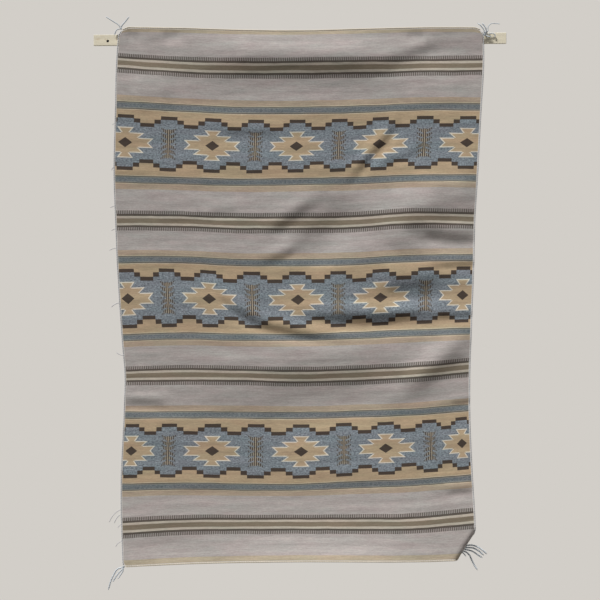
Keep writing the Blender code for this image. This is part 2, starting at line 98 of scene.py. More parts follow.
# Folds: a soft trough (negative rise) or ridge (positive rise) along a line, and a fall, where the
# web drops by this much from the line's upper side to its lower side. Lines run left to right.
Fold = namedtuple("Fold", "name width rise fall line")
FOLDS = (
    Fold("pin dimple at the far left", 13, -2.1, 0, ((-412, 3), (-368, 3))),
    Fold("pin dimple at the left", 13, -2.4, 0, ((-322, 4), (-276, 4))),
    Fold("pin dimple at the right", 14, -3.6, 0, ((246, 2), (300, 6))),
    Fold("ridge under the batten", 43, 15.0, 0, ((-262, -34), (0, -37), (248, -41))),
    Fold("fall at the top right", 27, 0, 4.4, ((180, -66), (250, -40), (330, -6))),
    Fold("swell under the batten at the left", 55, 3.0, 0, ((-400, -120), (-290, -120))),
    Fold("swell under the batten at the right", 50, 3.0, 0, ((240, -125), (400, -115))),
    Fold("soft fall over the second diamond", 20, 0, 2.6, ((-200, -215), (-40, -226))),
    Fold("crease over the fourth diamond", 15, 0, 5.0, ((118, -330), (160, -280), (200, -235), (228, -192))),
    Fold("crease beside it", 14, 0, 1.8, ((168, -302), (246, -277), (305, -240))),
    Fold("upper left dent", 17, 0, 2.2, ((-225, -408), (-140, -404))),
    Fold("long slanting valley", 54, -9.5, 0, ((-5, -540), (60, -470), (140, -378))),
    Fold("fall into the valley", 22, 0, 4.8, ((-75, -460), (-25, -422), (45, -374))),
    Fold("lower fall into the valley", 17, 0, 3.6, ((-90, -526), (-40, -508), (0, -484))),
    Fold("bulge beside the valley", 52, 8.0, 0, ((205, -500), (255, -420), (290, -345))),
    Fold("swell at the right edge", 48, 8.5, 0, ((270, -372), (420, -348))),
    Fold("fall at the right edge", 25, 0, 8.6, ((272, -448), (340, -464), (425, -468))),
    Fold("streak at the right edge", 11, 0, 3.2, ((310, -532), (425, -526))),
    Fold("fall beside the fourth diamond", 40, 0, 11.0, ((175, -588), (250, -580), (340, -574))),
    Fold("deep fall under the fourth diamond", 25, 0, 11.0,
         ((5, -648), (90, -656), (200, -654), (330, -645))),
    Fold("it runs out at the right edge", 13, 0, 3.6, ((300, -650), (425, -644))),
    Fold("left slanting crease", 19, 0, 8.6,
         ((-196, -588), (-152, -631), (-94, -667), (-35, -683), (30, -695), (100, -702))),
    Fold("slow fall under the crease", 92, 0, 14.0, ((-110, -805), (210, -800))),
    Fold("small dent under the crease", 14, 0, 1.6, ((-205, -716), (-140, -722))),
    Fold("lower right ridge", 31, 10.0, 0, ((238, -826), (304, -765), (388, -690))),
    Fold("dent under the ridge", 13, 0, 3.2, ((345, -852), (405, -846))),
    Fold("soft swell left of the middle", 90, 3.0, 0, ((-150, -880), (-140, -720))),
    Fold("left edge dent", 18, 0, 4.4, ((-420, -846), (-300, -858))),
    Fold("right edge dent", 14, 0, 3.8, ((335, -1060), (408, -1054))),
    Fold("lower right swell", 60, 3.0, 0, ((170, -1150), (340, -1140))),
    Fold("flare at the bottom", 52, 7.0, 0, ((-190, -1236), (290, -1240))),
    Fold("lower left hollow", 32, -2.5, 0, ((-380, -1190), (-210, -1196))),
)
FOLD_END = 0.3

# Corners: how far each is drawn round, as a radius.
Corner = namedtuple("Corner", "name across down radius")
CORNERS = (
    Corner("top left", 0.0, 0.0, 19.0),
    Corner("top right", 1.0, 0.0, 18.0),
    Corner("bottom left", 0.0, WEB_LENGTH, 6.0),
    Corner("bottom right", 1.0, WEB_LENGTH, 20.0),
)

# The bottom right corner rolls back towards the wall about a slanting line.
ROLL_DIRECTION = (0.842, -0.539)
ROLL_START = 956.0
ROLL_RADIUS = 10.0
ROLL_TURN = math.radians(175.0)

# The hand of the weaver: the web is never quite flat between its folds.
Ripple = namedtuple("Ripple", "across_length down_length slant rise start")
RIPPLES = (
    Ripple(310, 120, 0.4, 0.30, 0.7),
    Ripple(170, 74, -0.5, 0.22, 2.1),
    Ripple(96, 47, 0.8, 0.14, 4.4),
    Ripple(58, 31, -0.3, 0.09, 1.2),
)

# Pattern: stripes by their distance from the middle line of a diamond row, out to the middle of
# the next comb group, which is where the pattern turns round.
HALF_REPEAT = 178.0
FIRST_DIAMOND_ROW = 267.0
CHART_MIDDLE = 623.0
FIELD_BEYOND = 560.0
Stripe = namedtuple("Stripe", "start colour")
STRIPES = (
    Stripe(0.0, "tan"),
    Stripe(73.7, "stripe_edge"),
    Stripe(75.5, "stripe_line"),
    Stripe(77.4, "stripe_light"),
    Stripe(79.3, "stripe_grey"),
    Stripe(88.7, "stripe_light"),
    Stripe(90.6, "stripe_line"),
    Stripe(92.2, "stripe_edge"),
    Stripe(94.0, "tan_outer"),
    Stripe(106.0, "field"),
    Stripe(162.2, "comb_dark"),
    Stripe(166.9, "comb_cream"),
    Stripe(172.4, "comb_brown"),
)

# Comb teeth: where they lie between the field and the comb's dark line, and how fully dark wool
# covers a tooth and the gap beside it.
TEETH_START = 154.3
TEETH_END = 162.2
TOOTH_SPACING = 4.3
TOOTH_SHARE = 0.5
TOOTH_COVER = 1.0
TOOTH_GAP_COVER = 0.22

# Tan lines at the web's two ends
TOP_TAN = 8.0
BOTTOM_TAN = 12.0

# Stepped outline: where its bars lie at each distance from the nearest motif.
MOTIF_SPACING = 196.0
Step = namedtuple("Step", "beyond inner outer")
STEPS = (
    Step(0.0, 55.0, 63.0),
    Step(18.5, 45.5, 55.0),
    Step(33.0, 37.0, 45.5),
)

# Serrated diamond: where each tier starts and ends, and its half-width there; beyond the last tier
# the half-width is less than none.
Tier = namedtuple("Tier", "start end inner outer")
TIERS = (
    Tier(0.0, 11.3, 52.5, 64.0),
    Tier(11.3, 22.8, 29.0, 43.0),
    Tier(22.8, 35.0, 9.4, 18.7),
)
BEYOND_DIAMOND = -10.0
OUTLINE_ACROSS = 3.4
OUTLINE_DOWN = 2.2
LOZENGE_HALF_WIDTH = 16.0
LOZENGE_HALF_HEIGHT = 11.3

# Feather between the diamonds: fans of ticks on a double stem, which open away from its middle. Where
# the blue's fibres are palest they show through, and the ticks are weaker there.
FEATHER_HALF_HEIGHT = 33.0
FAN_SPACING = 11.4
FAN_SLOPE = 0.36
FAN_SHARE = 0.68
FAN_REACH = 12.5
FAN_SPREAD = 8.5
STEM_HALF_WIDTH = 3.3
TICK_SPACING = 4.4
TICK_START = -0.25
DARK_TICK_SHARE = 0.56
PALE_TICKS_TO = 4.0
BLUE_BETWEEN_FROM = 12.0
PALE_SHARE_AT_TIPS = 0.25
FIBRE_SHOWS_FROM = 0.6
TICKS_UNDER_FIBRE = 0.45

# Where the motifs stand across the web in each of the three rows, diamond and feather by turns.
MOTIFS = (
    (0.0265, 0.1455, 0.2672, 0.3855, 0.4990, 0.6160, 0.7273, 0.8514, 0.9690),
    (0.0215, 0.1347, 0.2529, 0.3757, 0.5071, 0.6205, 0.7405, 0.8710, 0.9745),
    (0.0228, 0.1282, 0.2571, 0.3820, 0.5145, 0.6382, 0.7582, 0.8898, 0.9779),
)
ROW_ENDS = (445.0, 801.0)

# Cords: their gap to the web, how far a yarn's outline dips between its two plies, as a share of its
# radius, and the share of their colour that the cords keep in the groove there, as painted shade.
CORD_GAP = 0.65
PLY_GROOVE = 0.16
CREAM_GROOVE_SHADE = 0.62
GREY_GROOVE_SHADE = 0.55

# Loose weft ends on the left side cord: how far each reaches out and drops.
LooseEnd = namedtuple("LooseEnd", "z reach drop thickness")
LOOSE_ENDS = (
    LooseEnd(-199, 7, 3, 2.2),
    LooseEnd(-300, 6, 9, 2.2),
    LooseEnd(-392, 12, 4, 2.2),
    LooseEnd(-445, 11, 5, 2.2),
    LooseEnd(-490, 18, 6, 2.2),
    LooseEnd(-618, 20, 11, 2.6),
    LooseEnd(-742, 18, -8, 2.2),
    LooseEnd(-1102, 29, 31, 2.4),
    LooseEnd(-1113, 17, 22, 2.4),
    LooseEnd(-1137, 9, 9, 2.2),
    LooseEnd(-1176, 16, 14, 2.2),
)

# Tassels: a knot against the web's corner, and the yarns that leave it, each through points of
# x, distance off the wall and z. A knot's loop, its yarn and the yarns' roots are shares of its size.
KNOT_LOOP = 0.32
KNOT_YARN = 0.36
ROOT_DEPTH = 0.2
Yarn = namedtuple("Yarn", "thickness points")
Tassel = namedtuple("Tassel", "name x off z size yarns")
TASSELS = (
    Tassel("tassel_top_left", -419.5, 10.3, 23.7, 6.0, (
        Yarn(3.0, ((-423.6, 10, 31), (-439, 9, 41.7), (-456, 8, 52.9))),
        Yarn(3.4, ((-417, 11, 31.5), (-411.6, 12, 37.2), (-405.5, 12, 44.5), (-400, 11, 52.4))),
        Yarn(3.0, ((-428.5, 10, 21.5), (-432.8, 10, 15), (-434.3, 10, 8))),
    )),
    Tassel("tassel_top_right", 432.4, 11.5, 9.6, 7.5, (
        Yarn(3.6, ((430.5, 12, 20), (422.5, 12, 31.5), (415.5, 11, 37))),
        Yarn(3.8, ((436, 14, 20), (432, 14, 29), (426, 13, 37.2))),
        Yarn(3.4, ((441.5, 12, 5), (449, 11.5, 6))),
        Yarn(2.8, ((444, 11, 12), (452, 10.5, 12.8), (457.5, 10, 8.6), (455.5, 9.5, 2.5))),
        Yarn(2.4, ((440, 11, 18), (440.8, 10, 28), (447, 9, 35.2), (458, 8, 36.4), (469, 8, 35.3))),
    )),
    Tassel("tassel_bottom_left", -413.0, 13.9, -1236.4, 6.5, (
        Yarn(4.2, ((-419, 13, -1238.5), (-427, 12, -1241.8), (-436.4, 11, -1255.4),
                   (-443, 10, -1269.5), (-447, 9, -1282.3), (-449.3, 8, -1291.7))),
        Yarn(3.9, ((-418, 13, -1244.5), (-425.5, 12, -1252), (-432.5, 11, -1262), (-438.9, 10, -1273))),
        Yarn(3.2, ((-414.5, 14, -1246), (-420.5, 14, -1256), (-426.5, 13, -1265))),
    )),
    Tassel("tassel_bottom_right", 377.0, 4.0, -1192.0, 5.0, (
        Yarn(4.6, ((386, 4.6, -1190), (395, 6, -1187.2), (402, 8.6, -1186.4),
                   (416.5, 10.6, -1190.8), (430.6, 9.6, -1200.4), (438.3, 7.6, -1208.1))),
        Yarn(4.6, ((386, 4.4, -1193.4), (396, 5, -1192.9), (404, 6.6, -1193.2),
                   (417.7, 7.6, -1199.5), (431.6, 6.6, -1211))),
        Yarn(4.4, ((385, 4, -1197), (394, 4, -1198.6), (403, 4.2, -1201),
                   (415.5, 4.4, -1208.8), (428.4, 4.2, -1217.3))),
        Yarn(4.6, ((382, 4.2, -1200.4), (389.5, 5, -1203.5), (397, 6, -1210),
                   (402.8, 6.5, -1222), (409.7, 6.5, -1235.2), (416.5, 6, -1246))),
        Yarn(3.4, ((378, 4, -1201.5), (384, 4.5, -1206.8), (390, 5, -1214))),
    )),
)

# Screw at the batten's left end: its face is dished inside a rim, and the arms of its recess are cut
# by bars this share of its head's width and depth. A face counts as at a place when it is near it.
SCREW_X = -451.0
SCREW_Z = -4.5
SCREW_FRONT = -6.4
SCREW_RIM = 0.35
SCREW_DISH = 0.05
RECESS_REACH = 0.55
RECESS_DEPTH = 1.2
RECESS_TURN = math.radians(20.0)
NEAR = 0.01

# The web laid flat for baking: the room round it, the gap before it and the width of its rim.
BAKE_ROOM = 30.0
BAKE_GAP = 10.0
BAKE_RIM = 3.0

# Lights: the key stands above and to the left; the others lift the shadows and the back. Each has a
# share of the key's strength, and a softness in degrees.
Light = namedtuple("Light", "name towards share softness")
LIGHTS = (
    Light("key", (-0.38, -0.33, 0.86), 1.0, 10.0),
    Light("sky", (-0.05, -0.62, 0.78), 0.16, 100.0),
    Light("back", (0.30, 0.80, 0.50), 0.5, 60.0),
)

LIGHT_DISTANCE = 3.0

# Camera: the view height is measured where the web hangs, this far off the wall.
SENSOR_WIDTH = 36.0
WEB_OFF_WALL = 15.0
CLIP_END = 50.0

# The floor's middle lies this far in front of the wall.
FLOOR_FORWARD = 300.0


def linear(hex_colour):
    """A colour written as sRGB hex, turned to linear."""
    values = [int(hex_colour[place:place + 2], 16) / 255 for place in (1, 3, 5)]
    return tuple(v / 12.92 if v <= 0.04045 else ((v + 0.055) / 1.055) ** 2.4 for v in values)


def colour_setting(name, description, hex_colour):
    return bpy.props.FloatVectorProperty(
        name=name, description=description, subtype="COLOR", size=3, min=0, max=1, default=linear(hex_colour),
    )


def length_setting(name, description, millimetres):
    return bpy.props.FloatProperty(
        name=name, description=description, unit="LENGTH", min=0, precision=4, default=millimetres * MM,
    )


def strength_setting(name, description, strength):
    return bpy.props.FloatProperty(name=name, description=description, min=0, default=strength)


class WebSettings(bpy.types.PropertyGroup):
    thickness: length_setting("Thickness", "How thick the web is", 3.0)
    warp_spacing: length_setting("Warp spacing", "From one warp to the next across the web", 2.15)
    weft_spacing: length_setting("Weft spacing", "From one weft to the next down the web", 1.1)
    field: colour_setting("Field", "Undyed grey wool between the bands", "#A39C99")
    tan: colour_setting("Tan", "Tan wool of the diamonds and their band", "#A89479")
    tan_outer: colour_setting("Outer tan", "Greyer tan between the stripes and the field", "#A39381")
    blue: colour_setting("Blue", "Dark fibres of the heathered blue round the diamonds", "#434B53")
    blue_pale: colour_setting("Blue pale", "Pale fibres of the heathered blue", "#949CA3")
    stripe_grey: colour_setting("Stripe grey", "Dark fibres of the broad stripes", "#4A5056")
    stripe_pale: colour_setting("Stripe pale", "Pale fibres of the broad stripes", "#7C8182")
    stripe_edge: colour_setting("Stripe edge", "Cream lines where the stripes meet the tan", "#B5A892")
    stripe_line: colour_setting("Stripe line", "Dark lines at the stripes' edges", "#54514B")
    stripe_light: colour_setting("Stripe light", "Pale lines inside the stripes", "#7C7D77")
    dark: colour_setting("Dark brown", "Bars of the stepped outline and the lozenges", "#3F342C")
    cream: colour_setting("Cream", "Outline of the serrated diamonds", "#CBC4B6")
    comb_dark: colour_setting("Comb dark", "Dark wool of the combs", "#4F4841")
    comb_cream: colour_setting("Comb cream", "Cream lines of the combs", "#ADA497")
    comb_brown: colour_setting("Comb brown", "Olive brown in the middle of the combs", "#776C5C")
    feather_pale: colour_setting("Feather pale", "Pale ticks of the feathers", "#9A9080")
    edge_tan: colour_setting("Edge tan", "Tan lines at the web's two ends", "#A59985")


class CordSettings(bpy.types.PropertyGroup):
    end_thickness: length_setting("End cord thickness", "Cords along the top and bottom", 4.0)
    side_thickness: length_setting("Side cord thickness", "Cords along the two sides", 3.6)
    twist: length_setting("Twist", "How far a cord runs in one full turn of its plies", 11.0)
    end_colour: colour_setting("End cords", "Cream wool of the end cords", "#C9BEAB")
    side_colour: colour_setting("Side cords", "Pale grey wool of the side cords", "#C6C4C4")


class TasselSettings(bpy.types.PropertyGroup):
    twist: length_setting("Twist", "How far a yarn runs in one full turn of its plies", 8.0)
    # The pale yarn colour is also painted highlight on the plies' crowns, and the dark one painted shade in
    # their grooves.
    pale: colour_setting("Pale yarn", "Pale fibres of the tassel yarn", "#CBD0D4")
    dark_and_groove_shade: colour_setting("Dark yarn", "Dark fibres of the tassel yarn", "#8F969D")


class BattenSettings(bpy.types.PropertyGroup):
    paint: colour_setting("Paint", "Cream paint of the lath", "#DCD3BC")
    bare_wood: colour_setting("Bare wood", "Wood where the paint is rubbed", "#B79A70")
    screw: colour_setting("Screw", "Blackened steel of the screw", "#17171A")


class StageSettings(bpy.types.PropertyGroup):
    view_height: length_setting("View height", "Height that the camera frames", 1404.0)
    view_drop: length_setting("View drop", "How far the view's middle lies under the lath", 611.9)
    distance: length_setting("Camera distance", "From the camera to the wall plane", 3600.0)
    floor_drop: length_setting("Floor drop", "How far the floor lies under the lath", 2300.0)
    floor_size: length_setting("Floor size", "Length of the floor's sides", 2800.0)
    floor: colour_setting("Floor", "Plain pale floor", "#A3A09B")
    backdrop: colour_setting("Backdrop", "Plain pale surroundings", "#D2CEC8")
    key: strength_setting("Key light", "Strength of the key light", 5.4)
    ambient: strength_setting("Ambient", "Strength of the soft light", 0.07)


def smooth_through(places, values, at):
    """A smooth curve through values at places, read at every position in at."""
    places = np.asarray(places, dtype=float)
    values = np.asarray(values, dtype=float)
    slopes = np.gradient(values, places, axis=0)
    at = np.clip(at, places[0], places[-1])
    index = np.clip(np.searchsorted(places, at, side="right") - 1, 0, len(places) - 2)
    span = places[index + 1] - places[index]
    t = (at - places[index]) / span

    def pick(table, row):
        if table.ndim == 1:
            return table[row]
        return np.take_along_axis(table, row[None], axis=0)[0]

    start_weight = 2 * t**3 - 3 * t**2 + 1
    end_weight = 3 * t**2 - 2 * t**3
    start_slope = (t**3 - 2 * t**2 + t) * span
    end_slope = (t**3 - t**2) * span
    return (
        start_weight * pick(values, index)
        + end_weight * pick(values, index + 1)
        + start_slope * pick(slopes, index)
        + end_slope * pick(slopes, index + 1)
    )


def flat_place(across, down):
    """The web as seen from the front: x and z of a place on the chart."""
    charts = [row.chart for row in ROWS]
    left = smooth_through(charts, [row.left for row in ROWS], down)
    right = smooth_through(charts, [row.right for row in ROWS], down)
    lifts = np.array([
        smooth_through(charts, [row.lifts[station] for row in ROWS], down)
        for station in range(len(STATIONS))
    ])
    x = left + across * (right - left)
    z = smooth_through(charts, [row.middle for row in ROWS], down) + smooth_through(STATIONS, lifts, across)
    for corner in CORNERS:
        from_side = np.abs(across - corner.across) * (right - left)
        from_end = np.abs(down - corner.down)
        near = np.clip(1 - from_side / corner.radius, 0, 1) * np.clip(1 - from_end / corner.radius, 0, 1)
        # a square corner lies this far outside its arc, shared between x and z
        inward = near * corner.radius * (math.sqrt(2) - 1) / math.sqrt(2)
        x = x + inward * (1 if corner.across == 0 else -1)
        z = z + inward * (-1 if corner.down == 0 else 1)
    return x, z


def fold_rise(fold, x, z):
    """How far one fold lifts the web, by the distance from the fold's line and along it."""
    corners = np.array(fold.line, dtype=float)
    runs = np.append(0, np.cumsum(np.hypot(*np.diff(corners, axis=0).T)))
    nearest = np.full(x.shape, np.inf)
    below = np.zeros(x.shape)
    at = np.zeros(x.shape)
    for (start_x, start_z), (end_x, end_z), run in zip(corners, corners[1:], runs):
        run_x = end_x - start_x
        run_z = end_z - start_z
        length = math.hypot(run_x, run_z)
        along = np.clip(((x - start_x) * run_x + (z - start_z) * run_z) / length**2, 0, 1)
        distance = np.hypot(x - start_x - along * run_x, z - start_z - along * run_z)
        under = (run_z * (x - start_x) - run_x * (z - start_z)) / length
        closer = distance < nearest
        nearest = np.where(closer, distance, nearest)
        below = np.where(closer, under, below)
        at = np.where(closer, run + along * length, at)
    fade = np.clip(np.minimum(at, runs[-1] - at) / (FOLD_END * runs[-1]), 0, 1)
    fade = FOLD_END + (1 - FOLD_END) * fade * fade * (3 - 2 * fade)
    bell = np.exp(-((nearest / fold.width) ** 2)) * fade
    # t * exp(-t * t) peaks at one over this, so that a fall is as high as its table says
    factor = math.sqrt(2 * math.e)
    return bell * (fold.rise - fold.fall / 2 * factor * np.clip(below / fold.width, -2, 2))


def stand_off(x, z):
    """How far the middle of the web stands off the wall."""
    heights = [-level.z for level in LEVELS]
    sides = np.array([
        smooth_through(heights, [level.left for level in LEVELS], -z),
        smooth_through(heights, [level.middle for level in LEVELS], -z),
        smooth_through(heights, [level.right for level in LEVELS], -z),
    ])
    off = smooth_through(LEVEL_STATIONS, sides, x)
    for fold in FOLDS:
        off = off + fold_rise(fold, x, z)
    for ripple in RIPPLES:
        turn = (x + ripple.slant * z) / ripple.across_length + (z - ripple.slant * x) / ripple.down_length
        off = off + ripple.rise * np.sin(2 * math.pi * turn + ripple.start)
    return off


def web_surface(across, down):
    """Points on the middle of the web, with its folds and its rolled corner, as an array of x, y, z."""
    across, down = np.broadcast_arrays(np.asarray(across, dtype=float), np.asarray(down, dtype=float))
    shape = across.shape
    x, z = flat_place(across.ravel(), down.ravel())
    off = stand_off(x, z)
    past = np.maximum(ROLL_DIRECTION[0] * x + ROLL_DIRECTION[1] * z - ROLL_START, 0)
    turn = np.minimum(past / ROLL_RADIUS, ROLL_TURN)
    straight = past - turn * ROLL_RADIUS
    reach = ROLL_RADIUS * np.sin(turn) + straight * math.cos(ROLL_TURN)
    off = off - ROLL_RADIUS * (1 - np.cos(turn)) - straight * math.sin(ROLL_TURN)
    x = x + (reach - past) * ROLL_DIRECTION[0]
    z = z + (reach - past) * ROLL_DIRECTION[1]
    return np.stack([x, -off, z], axis=-1).reshape(*shape, 3)


def unit(vectors):
    return vectors / np.linalg.norm(vectors, axis=-1, keepdims=True)


def web_places():
    return np.linspace(0, 1, WEB_COLUMNS + 1), np.linspace(0, WEB_LENGTH, WEB_ROWS + 1)


def motif_count(across, down):
    """Each place's position along its row of motifs: whole at a diamond, and a half at a feather."""
    count = np.empty(np.broadcast_shapes(across.shape, down.shape))
    counts = np.arange(len(MOTIFS[0])) / 2
    row_of = np.searchsorted(ROW_ENDS, down[:, 0])
    for number, places in enumerate(MOTIFS):
        start_slope = (counts[1] - counts[0]) / (places[1] - places[0])
        end_slope = (counts[-1] - counts[-2]) / (places[-1] - places[-2])
        knots = (0.0, *places, 1.0)
        values = (-places[0] * start_slope, *counts, counts[-1] + (1 - places[-1]) * end_slope)
        count[row_of == number] = np.interp(across[0], knots, values)
    return count


def cord_path(edge, inner, thickness):
    """A cord's middle along a web edge, just outside it."""
    along = unit(np.gradient(edge, axis=0))
    outward = edge - inner
    outward = unit(outward - along * np.sum(outward * along, axis=-1, keepdims=True))
    return edge + outward * (thickness / 2 + CORD_GAP)


def even_path(points, step):
    """A smooth path through the points, read at even steps."""
    points = np.asarray(points, dtype=float)
    runs = np.append(0, np.cumsum(np.linalg.norm(np.diff(points, axis=0), axis=1)))
    at = np.linspace(0, runs[-1], max(int(runs[-1] / step), 4) + 1)
    return np.stack([smooth_through(runs, points[:, axis], at) for axis in range(3)], axis=1), at


# A shape's points, its faces, and where each point lies along and round its yarn.
Shape = namedtuple("Shape", "points faces places")


def plied_yarn(path, thickness, twist, sides=12, step=1.2, tip=0.45):
    """A two-ply yarn along a path: a tube whose section has a groove on each side and turns as it runs."""
    middle, at = even_path(path, step)
    along = unit(np.gradient(middle, axis=0))
    side = np.empty_like(along)
    held = np.array(Vector(along[0]).orthogonal())
    for number, direction in enumerate(along):
        held = held - direction * (held @ direction)
        held = held / np.linalg.norm(held)
        side[number] = held
    other = np.cross(along, side)
    angle = np.arange(sides) * 2 * math.pi / sides
    turned = angle[None, :] + (2 * math.pi * at / twist)[:, None]
    section = 1 - PLY_GROOVE + PLY_GROOVE * np.cos(2 * angle)
    taper = np.clip(np.minimum(at, at[-1] - at) / thickness, tip, 1)
    radius = thickness / 2 * section[None, :] * taper[:, None]
    rings = (
        middle[:, None, :]
        + (radius * np.cos(turned))[..., None] * side[:, None, :]
        + (radius * np.sin(turned))[..., None] * other[:, None, :]
    )
    count = len(middle)
    points = np.concatenate([rings.reshape(-1, 3), middle[:1], middle[-1:]])
    faces = []
    for ring in range(count - 1):
        for turn in range(sides):
            a = ring * sides + turn
            b = ring * sides + (turn + 1) % sides
            faces.append((a, b, b + sides, a + sides))
    first = count * sides
    for turn in range(sides):
        after = (turn + 1) % sides
        faces.append((first, after, turn))
        faces.append((first + 1, first - sides + turn, first - sides + after))
    around = np.broadcast_to(angle / (2 * math.pi), (count, sides))
    run = np.broadcast_to(at[:, None] * MM, (count, sides))
    places = np.stack([run.ravel(), around.ravel()], axis=1)
    places = np.concatenate([places, [(0, 0), (at[-1] * MM, 0)]])
    return Shape(points, faces, places)


def joined(shapes):
    """Several shapes as one."""
    faces = []
    passed = 0
    for shape in shapes:
        faces += [tuple(corner + passed for corner in face) for face in shape.faces]
        passed += len(shape.points)
    points = np.concatenate([shape.points for shape in shapes])
    return Shape(points, faces, np.concatenate([shape.places for shape in shapes]))


def mesh_object(name, points, faces, material):
    """An object at the origin from points in millimetres and its faces."""
    mesh = bpy.data.meshes.new(name)
    mesh.from_pydata((points * MM).tolist(), [], faces)
    mesh.update()
    mesh.materials.append(material)
    mesh.shade_smooth()
    thing = bpy.data.objects.new(name, mesh)
    bpy.context.scene.collection.objects.link(thing)
    return thing


def add_uv_map(thing, name, values):
    """A UV map from one pair of values for each face corner."""
    layer = thing.data.uv_layers.new(name=name)
    layer.data.foreach_set("uv", np.asarray(values, dtype=np.float32).ravel())


def yarn_object(name, shape, material):
    thing = mesh_object(name, shape.points, shape.faces, material)
    corners = [corner for face in shape.faces for corner in face]
    add_uv_map(thing, "Yarn", shape.places[corners])
    return thing


def add(tree, kind, inputs=(), **settings):
    """Adds a node with its settings; inputs are given in order or by name, as values, sockets or nodes."""
    node = tree.nodes.new("ShaderNode" + kind)
    for name, value in settings.items():
        setattr(node, name, value)
    pairs = inputs.items() if isinstance(inputs, dict) else enumerate(inputs)
    for key, value in pairs:
        socket = node.inputs[key]
        if isinstance(value, bpy.types.Node):
            value = value.outputs[0]
        if isinstance(value, bpy.types.NodeSocket):
            tree.links.new(value, socket)
        elif socket.type == "RGBA":
            socket.default_value = (*value, 1.0)
        else:
            socket.default_value = value
    return node


def new_material(name):
    """An empty material and its node tree."""
    material = bpy.data.materials.new(name)
    material.use_nodes = True
    material.node_tree.nodes.clear()
    return material, material.node_tree


def stripe_colours(tree, web, from_row, heather):
    """The colour of the plain stripes at a distance from the middle line of a diamond row."""
    colour = web.tan
    for stripe in STRIPES[1:]:
        past = add(tree, "Math", (from_row, stripe.start), operation="GREATER_THAN")
        wool = getattr(web, stripe.colour)
        if stripe.colour == "stripe_grey":
            wool = add(tree, "MixRGB", (heather, wool, web.stripe_pale))
        colour = add(tree, "MixRGB", (past, colour, wool))
    return colour


def step_heights(tree, from_motif, side):
    """Where one side of the stepped outline lies, by the distance from the nearest motif."""
    height = getattr(STEPS[0], side)
    for before, step in zip(STEPS, STEPS[1:]):
        beyond = add(tree, "Math", (from_motif, step.beyond), operation="GREATER_THAN")
        change = getattr(step, side) - getattr(before, side)
        height = add(tree, "Math", (beyond, change, height), operation="MULTIPLY_ADD")
    return height


def serrated_edge(tree, from_row):
    """The half-width of a serrated diamond, by the distance from its middle line; beyond it, none."""
    width = BEYOND_DIAMOND
    for tier in reversed(TIERS):
        inside = add(tree, "Math", (from_row, tier.end), operation="LESS_THAN")
        slope = add(tree, "MapRange", (from_row, tier.start, tier.end, tier.inner, tier.outer))
        width = add(tree, "Mix", {0: inside, 2: width, 3: slope}, data_type="FLOAT")
    return width


